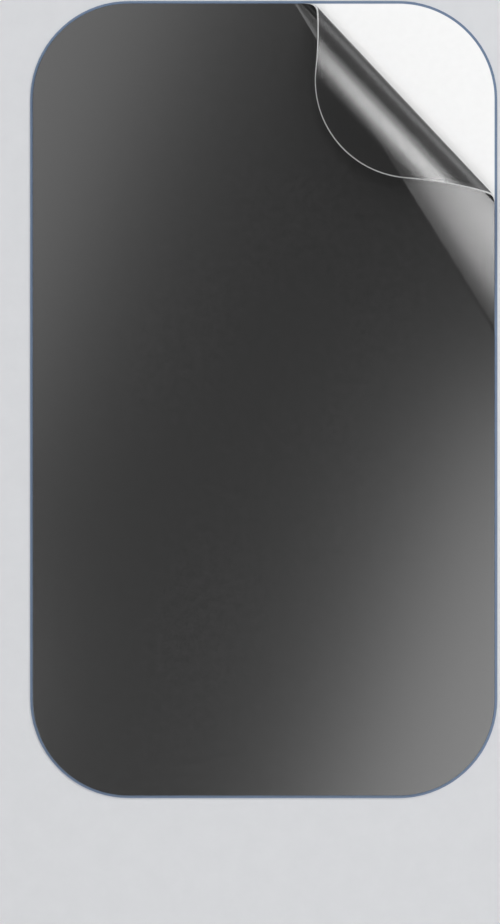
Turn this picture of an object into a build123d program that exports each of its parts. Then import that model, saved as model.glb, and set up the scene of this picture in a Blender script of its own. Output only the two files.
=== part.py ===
from build123d import *
import os

# Film: the dark sheet, as cut flat
film_width = 66.0
film_length = 113.2
film_corner = 13.7
film_thickness = 0.3

# Backing sheet: the white layer that the film lies on, showing as a narrow rim all round
backing_margin = 0.4
backing_thickness = 0.15

# Peel line: where the film leaves the backing, measured both ways from the film's square corner
peel_across = 28.6
peel_down = 47.6

# Lift and slope: the run from the peel line to the fold, along the top edge and down the side
slope_across = 0.8
slope_down = 19.0
lift_share = 0.08
lift_turn = 9.0
slope_turn = 10.0

# Fold: the tight turn, a cone that is widest at the top edge, as its run along the two edges
fold_across = 4.4
fold_down = 1.85

# Flap and tip: the film curves on gently over itself and ends in a flat tip, face down and nearly level
flap_share = 0.5
flap_turn = 40.0
tip_rise = 2.0

# Bend lines in each stretch of the curl
steps = 12

film_base = backing_thickness
film_top = backing_thickness + film_thickness
film_middle = backing_thickness + film_thickness / 2
corner_x = film_width / 2
corner_y = film_length / 2


# A bend line crosses the corner of the flat film; it runs from the top edge to the side edge
def bend_line(legs):
    line = Line((corner_x - legs.X, corner_y), (corner_x, corner_y - legs.Y))
    ends = (line & outline).vertices().sort_by(Axis.X)
    return [Vector(ends[0]), Vector(ends[-1])]


# The bend line's own frame: x along it, y across the film to the corner, z up
def hinge(ends):
    origin = Vector(ends[0].X, ends[0].Y, film_middle)
    return Plane(origin, x_dir=ends[1] - ends[0], z_dir=(0, 0, 1))


# The film on the corner side of a bend line, or on the other side of it
def cut_film(ends, keep):
    frame = hinge(ends)
    return split(blank, bisect_by=Plane(frame.origin, x_dir=frame.x_dir, z_dir=frame.y_dir), keep=keep)


# One bent stretch of film: ruled faces between curves through the ends of its bend lines
def bent_stretch(rows):
    curves = [Edge.make_spline(points) for points in zip(*rows)]
    sides = [Face.make_surface_from_curves(curves[i], curves[i - 1]) for i in range(len(curves))]
    caps = [Face(Wire.make_polygon(row)) for row in (rows[0], rows[-1])]
    return Solid(Shell(sides + caps))


outline = RectangleRounded(film_width, film_length, film_corner)
blank = Pos(0, 0, film_base) * extrude(outline, film_thickness)

# Ends of the four stretches, as distances from the square corner along the two edges
peel = Vector(peel_across, peel_down)
slope = Vector(slope_across, slope_down)
fold_start = peel - slope
fold_turn = 180 - tip_rise - flap_turn - slope_turn - lift_turn
fold_end = fold_start - Vector(fold_across, fold_down)
tip_start = fold_end * (1 - flap_share)
stretches = [
    (peel - slope * lift_share, lift_turn),
    (fold_start, slope_turn),
    (fold_end, fold_turn),
    (tip_start, flap_turn),
]

# Bend the film line by line; each line turns everything beyond it
film = cut_film(bend_line(peel), Keep.BOTTOM)
place = Location()
start = peel
for end, turn in stretches:
    rows = []
    for step in range(steps + 1):
        ends = bend_line(start + (end - start) * (step / steps))
        frame = hinge(ends).location
        half_turn = frame * Rot(X=turn / steps / 2) * frame.inverse()
        if step > 0:
            place = place * half_turn
        flat = [(ends[0], film_base), (ends[0], film_top), (ends[1], film_top), (ends[1], film_base)]
        rows.append([(place * Pos(point.X, point.Y, height)).position for point, height in flat])
        if step < steps:
            place = place * half_turn
    film += bent_stretch(rows)
    start = end
film += place * cut_film(bend_line(tip_start), Keep.TOP)

backing = extrude(
    RectangleRounded(
        film_width + 2 * backing_margin,
        film_length + 2 * backing_margin,
        film_corner + backing_margin,
    ),
    backing_thickness,
)

os.makedirs("parts", exist_ok=True)
export_step(film, "parts/protector_film.step")
export_step(backing, "parts/backing_sheet.step")
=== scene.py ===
import math

import bmesh
import bpy
from mathutils import Matrix, Vector


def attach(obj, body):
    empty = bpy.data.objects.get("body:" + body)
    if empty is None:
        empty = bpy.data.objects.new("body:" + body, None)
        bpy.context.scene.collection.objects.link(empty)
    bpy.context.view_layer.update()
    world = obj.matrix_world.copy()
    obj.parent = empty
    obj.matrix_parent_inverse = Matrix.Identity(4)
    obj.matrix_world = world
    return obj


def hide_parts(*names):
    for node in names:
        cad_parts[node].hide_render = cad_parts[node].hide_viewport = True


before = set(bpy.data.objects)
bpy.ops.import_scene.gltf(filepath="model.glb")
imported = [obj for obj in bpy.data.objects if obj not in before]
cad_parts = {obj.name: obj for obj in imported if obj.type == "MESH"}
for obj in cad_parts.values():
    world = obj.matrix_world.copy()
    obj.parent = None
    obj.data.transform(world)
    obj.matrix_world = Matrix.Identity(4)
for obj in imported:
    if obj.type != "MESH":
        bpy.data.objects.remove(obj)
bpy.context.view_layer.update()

MM = 0.001

# Film and backing, in millimetres, as in the solids
FILM_WIDTH = 66.0
FILM_LENGTH = 113.2
FILM_CORNER = 13.7
FILM_THICKNESS = 0.3
BACKING_THICKNESS = 0.15

# The peeled corner, as in the solids: runs across the top edge and down the side, turns in degrees
PEEL = Vector((28.6, 47.6))
SLOPE = Vector((0.8, 19.0))
FOLD = Vector((4.4, 1.85))
LIFT_SHARE = 0.08
LIFT_TURN = 9.0
SLOPE_TURN = 10.0
FLAP_SHARE = 0.5
FLAP_TURN = 40.0
TIP_RISE = 2.0

# How finely the film's mesh is cut: each corner's arc, and the four stretches of the curl
ARC_STEPS = 28
LIFT_STEPS = 16
SLOPE_STEPS = 16
FOLD_STEPS = 32
FLAP_STEPS = 32

# How near to a bend line a point lies on it, and how near a cut takes a point for its own
ON_LINE = 1e-4
CUT_SNAP = 1e-5

# The film's edge: a hair of room over the backing, a soft upper arris and a slanted cut below
CLEAR = 0.015
ARRIS = 0.03
ARRIS_STEPS = 2
CUT_WIDTH = 0.1
CUT_HEIGHT = 0.16
EDGE_BAND = 0.02

# Slots of the film's mesh
FILM_SLOT = 0
UNDER_SLOT = 1
# Slot of the cut edge, which is painted light silvery grey as a highlight
PAINTED_EDGE_SLOT = 2

# Plastic film: its refractive index, how far its grey and roughness wander, and its flat coordinates' unit
PLASTIC_IOR = 1.55
GREY_SPREAD = 0.003
ROUGHNESS_SPREAD = 0.007
FLAT_UNIT = 100

# How dense the film is along the way to its peeled corner, in flat coordinates
TO_CORNER = (0.72, 0.69, 0)
DENSITY = [(0.44, 1.0), (0.46, 0.64), (0.53, 0.25)]

# Softness of the printed rim's inner border, in millimetres
RIM_BORDER = 0.04

# Levels of a noise between which a finish wanders
GRAIN_LOW = 0.3
GRAIN_HIGH = 0.7

# Colour sockets of a mix node, whose names are shared by other kinds
MIX_FIRST = 6
MIX_SECOND = 7
MIX_RESULT = 2

# The backdrop's even tone, and where the floor passes into it, in metres from the middle of the sheet
BACKDROP = (0.665, 0.679, 0.693)
FADE_START = 0.15
FADE_RUN = 0.35

# The studio's tone by the sine of the angle above the horizon
SKY = [(0.0, BACKDROP), (0.2, 0.3), (0.45, 0.185), (0.85, 0.1)]

# Point below the camera, which the lamps face too; the camera's height; the lamps' distance in metres
AIM = Vector((-1.966, -8.934, 0)) * MM
CAMERA_HEIGHT = 312.2
LAMP_DISTANCE = 1.0


def outline(inset):
    """Points round the film's outline, moved inwards by inset."""
    points = []
    radius = FILM_CORNER - inset
    for side_x, side_y, start in ((1, 1, 0), (-1, 1, 90), (-1, -1, 180), (1, -1, 270)):
        centre_x = side_x * (FILM_WIDTH / 2 - FILM_CORNER)
        centre_y = side_y * (FILM_LENGTH / 2 - FILM_CORNER)
        for step in range(ARC_STEPS + 1):
            angle = math.radians(start + 90 * step / ARC_STEPS)
            points.append((centre_x + radius * math.cos(angle), centre_y + radius * math.sin(angle)))
    return points


def edge_profile():
    """The edge's section from the upper face to the lower one: inset from the outline, and height."""
    half = (FILM_THICKNESS - CLEAR) / 2
    section = [(ARRIS + EDGE_BAND, half)]
    for step in range(ARRIS_STEPS + 1):
        angle = math.radians(90 - 90 * step / ARRIS_STEPS)
        section.append((ARRIS * (1 - math.cos(angle)), half - ARRIS * (1 - math.sin(angle))))
    section += [(0, CUT_HEIGHT - half), (CUT_WIDTH, -half), (CUT_WIDTH + EDGE_BAND, -half)]
    return section


def flat_film():
    """The film before it is bent: a thin closed sheet, with its cut edge in a slot of its own, which carries
    a painted highlight.
    """
    first_cut = ARRIS_STEPS + 1
    last_cut = ARRIS_STEPS + 2
    bm = bmesh.new()
    loops = [[bm.verts.new((x, y, height)) for x, y in outline(inset)] for inset, height in edge_profile()]
    count = len(loops[0])
    bm.faces.new(loops[0])
    bm.faces.new(reversed(loops[-1])).material_index = UNDER_SLOT
    for k in range(len(loops) - 1):
        for i in range(count):
            j = (i + 1) % count
            face = bm.faces.new((loops[k][i], loops[k + 1][i], loops[k + 1][j], loops[k][j]))
            if k > last_cut:
                face.material_index = UNDER_SLOT
            elif k >= first_cut:
                face.material_index = PAINTED_EDGE_SLOT
    for face in bm.faces:
        face.smooth = True
    return bm


def bend_stretches():
    """Where each stretch of the curl ends, how far it turns and how many bend lines it has."""
    fold_start = PEEL - SLOPE
    fold_end = fold_start - FOLD
    fold_turn = 180 - TIP_RISE - FLAP_TURN - SLOPE_TURN - LIFT_TURN
    return [
        (PEEL - SLOPE * LIFT_SHARE, LIFT_TURN, LIFT_STEPS),
        (fold_start, SLOPE_TURN, SLOPE_STEPS),
        (fold_end, fold_turn, FOLD_STEPS),
        (fold_end * (1 - FLAP_SHARE), FLAP_TURN, FLAP_STEPS),
    ]


def bend_lines():
    """Every bend line from the peel line on: a point, the ways along and across, and its two half turns."""
    strips = []
    start = PEEL
    for end, turn, steps in bend_stretches():
        for step in range(steps):
            strips.append((start.lerp(end, step / steps), turn / steps))
        start = end
    strips.append((start, 0.0))
    lines = []
    before = 0.0
    for legs, turn in strips:
        point = Vector((FILM_WIDTH / 2 - legs.x, FILM_LENGTH / 2, 0))
        along = Vector((legs.x, -legs.y, 0)).normalized()
        across = Vector((-along.y, along.x, 0))
        lines.append((point, along, across, before / 2, turn / 2))
        before = turn
    return lines


def hinge(point, along, degrees):
    """The turn about a bend line."""
    turn = Matrix.Rotation(math.radians(degrees), 4, along)
    return Matrix.Translation(point) @ turn @ Matrix.Translation(-point)


def bend_places():
    """For each bend line: where it lies, and the moves of what lies on it and beyond it."""
    places = []
    place = Matrix.Identity(4)
    for point, along, across, before, after in bend_lines():
        on_line = place @ hinge(point, along, before)
        place = on_line @ hinge(point, along, after)
        places.append((point, across, on_line, place))
    return places


def past(point, line_point, across):
    """How far a point of the flat film lies past a bend line."""
    return (Vector((point.x, point.y, 0)) - line_point).dot(across)


def make_film():
    """The film, cut along its bend lines, marked with its flat coordinates and then bent."""
    bm = flat_film()
    places = bend_places()
    for point, across, _, _ in places:
        geom = bm.verts[:] + bm.edges[:] + bm.faces[:]
        bmesh.ops.bisect_plane(bm, geom=geom, dist=CUT_SNAP, plane_co=point, plane_no=across)
    peel_point, peel_across = places[0][:2]
    flat = bm.loops.layers.uv.new("Flat")
    # Where the film still lies flat, its cut edge takes the film's own colour; only the lifted edge keeps the
    # painted highlight
    for face in bm.faces:
        if face.material_index == PAINTED_EDGE_SLOT and past(face.calc_center_median(), peel_point, peel_across) < 0:
            face.material_index = FILM_SLOT
        for loop in face.loops:
            loop[flat].uv = loop.vert.co.xy / FLAT_UNIT
    middle = BACKING_THICKNESS + CLEAR + (FILM_THICKNESS - CLEAR) / 2
    for vert in bm.verts:
        move = Matrix.Identity(4)
        for point, across, on_line, beyond in places:
            distance = past(vert.co, point, across)
            if distance < -ON_LINE:
                break
            move = on_line if distance < ON_LINE else beyond
        vert.co = (move @ vert.co + Vector((0, 0, middle))) * MM
    mesh = bpy.data.meshes.new("protector_film_sheet")
    bm.to_mesh(mesh)
    bm.free()
    obj = bpy.data.objects.new("protector_film_sheet", mesh)
    bpy.context.scene.collection.objects.link(obj)
    return obj


def new_material(name):
    """A material with its nodes, their links and its shader."""
    material = bpy.data.materials.new(name)
    material.use_nodes = True
    nodes = material.node_tree.nodes
    return material, nodes, material.node_tree.links, nodes["Principled BSDF"]


def calc(nodes, links, operation, a, b=None, clamp=False):
    """One step of arithmetic on numbers or sockets."""
    node = nodes.new("ShaderNodeMath")
    node.operation = operation
    node.use_clamp = clamp
    for socket, value in zip(node.inputs, (a, b)):
        if isinstance(value, (int, float)):
            socket.default_value = value
        elif value is not None:
            links.new(value, socket)
    return node.outputs[0]


def ramp(nodes, links, source, stops):
    """A colour ramp; a stop's colour may be a single grey."""
    node = nodes.new("ShaderNodeValToRGB")
    elements = node.color_ramp.elements
    while len(elements) < len(stops):
        elements.new(0.5)
    for element, (at, colour) in zip(elements, stops):
        element.position = at
        element.color = (*colour, 1) if isinstance(colour, tuple) else (colour, colour, colour, 1)
    links.new(source, node.inputs["Fac"])
    return node.outputs["Color"]


def mix_colours(nodes, links, factor, first, second):
    """A mix of two colours, each a socket or a plain colour."""
    node = nodes.new("ShaderNodeMix")
    node.data_type = "RGBA"
    links.new(factor, node.inputs["Factor"])
    for place, colour in ((MIX_FIRST, first), (MIX_SECOND, second)):
        if isinstance(colour, tuple):
            node.inputs[place].default_value = (*colour, 1)
        else:
            links.new(colour, node.inputs[place])
    return node.outputs[MIX_RESULT]


def noise(nodes, links, vector, scale, detail):
    node = nodes.new("ShaderNodeTexNoise")
    node.inputs["Scale"].default_value = scale
    node.inputs["Detail"].default_value = detail
    node.inputs["Roughness"].default_value = 0.6
    links.new(vector, node.inputs["Vector"])
    return node.outputs["Fac"]


def mottled(nodes, links, grain, low, high):
    """A grey or colour that wanders with the grain."""
    return ramp(nodes, links, grain, [(GRAIN_LOW, low), (GRAIN_HIGH, high)])


def flat_coordinates(nodes):
    where = nodes.new("ShaderNodeUVMap")
    where.uv_map = "Flat"
    return where.outputs["UV"]


def film_material(name, roughness, grey, specular):
    """Smoke-grey glossy film, faintly mottled: dense where it lies flat, see-through in the folded flap."""
    material, nodes, links, shader = new_material(name)
    where = flat_coordinates(nodes)
    grain = noise(nodes, links, where, scale=90.0, detail=4.0)
    tone = mottled(nodes, links, grain, grey - GREY_SPREAD, grey + GREY_SPREAD)
    links.new(tone, shader.inputs["Base Color"])
    polish = mottled(nodes, links, grain, roughness - ROUGHNESS_SPREAD, roughness + ROUGHNESS_SPREAD)
    links.new(polish, shader.inputs["Roughness"])
    to_corner = nodes.new("ShaderNodeVectorMath")
    to_corner.operation = "DOT_PRODUCT"
    to_corner.inputs[1].default_value = TO_CORNER
    links.new(where, to_corner.inputs[0])
    links.new(ramp(nodes, links, to_corner.outputs["Value"], DENSITY), shader.inputs["Alpha"])
    shader.inputs["IOR"].default_value = PLASTIC_IOR
    shader.inputs["Specular IOR Level"].default_value = specular
    return material


def painted_edge_highlight_material():
    """The film's cut edge, painted a light silvery grey as a highlight for the light that the lifted edge
    catches.
    """
    material, nodes, links, shader = new_material("film_cut_edge_painted_highlight")
    grain = noise(nodes, links, flat_coordinates(nodes), scale=400.0, detail=2.0)
    links.new(mottled(nodes, links, grain, 0.6, 0.74), shader.inputs["Base Color"])
    links.new(mottled(nodes, links, grain, 0.22, 0.3), shader.inputs["Roughness"])
    shader.inputs["IOR"].default_value = PLASTIC_IOR
    return material


def backing_material():
    """White paper, with a grey-blue rim printed over the margin outside the film."""
    material, nodes, links, shader = new_material("white_backing")
    where = nodes.new("ShaderNodeTexCoord").outputs["Object"]
    split = nodes.new("ShaderNodeSeparateXYZ")
    links.new(where, split.inputs[0])
    squares = []
    for axis, size in (("X", FILM_WIDTH), ("Y", FILM_LENGTH)):
        straight = (size / 2 - FILM_CORNER) * MM
        beyond = calc(nodes, links, "SUBTRACT", calc(nodes, links, "ABSOLUTE", split.outputs[axis]), straight)
        squares.append(calc(nodes, links, "POWER", calc(nodes, links, "MAXIMUM", beyond, 0.0), 2.0))
    reach = calc(nodes, links, "SQRT", calc(nodes, links, "ADD", *squares))
    outside = calc(nodes, links, "SUBTRACT", reach, FILM_CORNER * MM)
    rim = calc(nodes, links, "MULTIPLY", outside, 1 / (RIM_BORDER * MM), clamp=True)
    fibre = noise(nodes, links, where, scale=900.0, detail=4.0)
    paper = mottled(nodes, links, fibre, 0.905, 0.925)
    ink = mottled(nodes, links, fibre, (0.128, 0.185, 0.288), (0.144, 0.205, 0.312))
    links.new(mix_colours(nodes, links, rim, paper, ink), shader.inputs["Base Color"])
    links.new(mottled(nodes, links, fibre, 0.42, 0.5), shader.inputs["Roughness"])
    shader.inputs["Specular IOR Level"].default_value = 0.3
    return material


def floor_material():
    """Pale matt floor; far from the sheet the camera sees it pass into the even backdrop."""
    material, nodes, links, shader = new_material("floor")
    where = nodes.new("ShaderNodeTexCoord").outputs["Object"]
    grain = noise(nodes, links, where, scale=300.0, detail=3.0)
    tone = mottled(nodes, links, grain, (0.666, 0.674, 0.696), (0.686, 0.694, 0.716))
    links.new(tone, shader.inputs["Base Color"])
    shader.inputs["Roughness"].default_value = 0.9
    shader.inputs["Specular IOR Level"].default_value = 0.1
    away = nodes.new("ShaderNodeVectorMath")
    away.operation = "LENGTH"
    links.new(where, away.inputs[0])
    beyond = calc(nodes, links, "SUBTRACT", away.outputs["Value"], FADE_START)
    far = calc(nodes, links, "DIVIDE", beyond, FADE_RUN, clamp=True)
    path = nodes.new("ShaderNodeLightPath").outputs
    seen = calc(nodes, links, "MAXIMUM", path["Is Camera Ray"], path["Is Glossy Ray"])
    backdrop = nodes.new("ShaderNodeEmission")
    backdrop.inputs["Color"].default_value = (*BACKDROP, 1)
    mix = nodes.new("ShaderNodeMixShader")
    links.new(calc(nodes, links, "MULTIPLY", far, seen), mix.inputs[0])
    links.new(shader.outputs[0], mix.inputs[1])
    links.new(backdrop.outputs[0], mix.inputs[2])
    links.new(mix.outputs[0], nodes["Material Output"].inputs["Surface"])
    return material


def make_floor(half_side, drop):
    mesh = bpy.data.meshes.new("floor")
    corners = [(-1, -1), (1, -1), (1, 1), (-1, 1)]
    mesh.from_pydata([(half_side * x, half_side * y, 0) for x, y in corners], [], [(0, 1, 2, 3)])
    mesh.materials.append(floor_material())
    obj = bpy.data.objects.new("floor", mesh)
    obj.location.z = -drop
    bpy.context.scene.collection.objects.link(obj)


def softbox(name, azimuth, nearest, farthest, width, radiance, slide=0.0):
    """A rectangular lamp that faces the sheet.

    azimuth is measured from +X; nearest and farthest are its edges' angles from straight up; width is its
    size across, and slide moves it that way.
    """
    depth = 2 * LAMP_DISTANCE * math.tan(math.radians((farthest - nearest) / 2))
    round_z = math.radians(azimuth)
    from_up = math.radians((nearest + farthest) / 2)
    level = math.sin(from_up)
    out = Vector((level * math.cos(round_z), level * math.sin(round_z), math.cos(from_up)))
    side = Vector((-math.sin(round_z), math.cos(round_z), 0))
    turn = Matrix((side, out.cross(side), out)).transposed().to_4x4()
    light = bpy.data.lights.new(name, "AREA")
    light.shape = "RECTANGLE"
    light.size = width
    light.size_y = depth
    light.energy = radiance * math.pi * width * depth
    obj = bpy.data.objects.new(name, light)
    obj.matrix_world = Matrix.Translation(AIM + out * LAMP_DISTANCE + side * slide) @ turn
    obj.visible_camera = False
    bpy.context.scene.collection.objects.link(obj)


def make_world():
    """A dim studio, palest at the horizon; the camera itself sees the even backdrop."""
    world = bpy.data.worlds.new("studio")
    bpy.context.scene.world = world
    world.use_nodes = True
    nodes = world.node_tree.nodes
    links = world.node_tree.links
    up = nodes.new("ShaderNodeSeparateXYZ")
    links.new(nodes.new("ShaderNodeTexCoord").outputs["Generated"], up.inputs[0])
    sky = ramp(nodes, links, up.outputs["Z"], SKY)
    to_camera = nodes.new("ShaderNodeLightPath").outputs["Is Camera Ray"]
    shown = mix_colours(nodes, links, to_camera, sky, BACKDROP)
    links.new(shown, nodes["Background"].inputs["Color"])
    nodes["Background"].inputs["Strength"].default_value = 1.0


def make_camera():
    """A long lens straight above the sheet."""
    camera = bpy.data.cameras.new("camera")
    camera.lens = 85
    camera.sensor_width = 36
    obj = bpy.data.objects.new("camera", camera)
    obj.location = AIM + Vector((0, 0, CAMERA_HEIGHT)) * MM
    bpy.context.scene.collection.objects.link(obj)
    bpy.context.scene.camera = obj


film = make_film()
film.data.materials.append(film_material("smoked_film", roughness=0.19, grey=0.0135, specular=0.77))
film.data.materials.append(film_material("smoked_film_underside", roughness=0.21, grey=0.02, specular=0.9))
film.data.materials.append(painted_edge_highlight_material())
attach(film, "root")
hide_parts("protector_film")

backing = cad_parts["backing_sheet"]
backing.data.materials.clear()
backing.data.materials.append(backing_material())

make_floor(half_side=2.0, drop=0.05 * MM)

# Lamps: azimuth, the nearest and farthest angles from straight up, width in metres, radiance
softbox("light_upper_right_wide", 50, 29, 64, 0.3, 4.0, slide=-0.055)
softbox("light_upper_right_core", 50, 38.5, 55.5, 0.3, 8.8, slide=-0.055)
softbox("light_upper_right_low", 45, 83, 89.5, 0.5, 2.2)
softbox("light_lower_left", 205, 13, 36, 0.1, 7.5)
softbox("light_lower_left_core", 219, 20.4, 26, 0.12, 11.3)
softbox("light_lower_right", 340, 7.3, 30.3, 0.8, 3.63, slide=-0.3)
softbox("light_upper_left", 158.5, 8.25, 28.25, 0.7, 1.95, slide=-0.27)

make_world()
make_camera()
bpy.context.scene.view_settings.view_transform = "Standard"
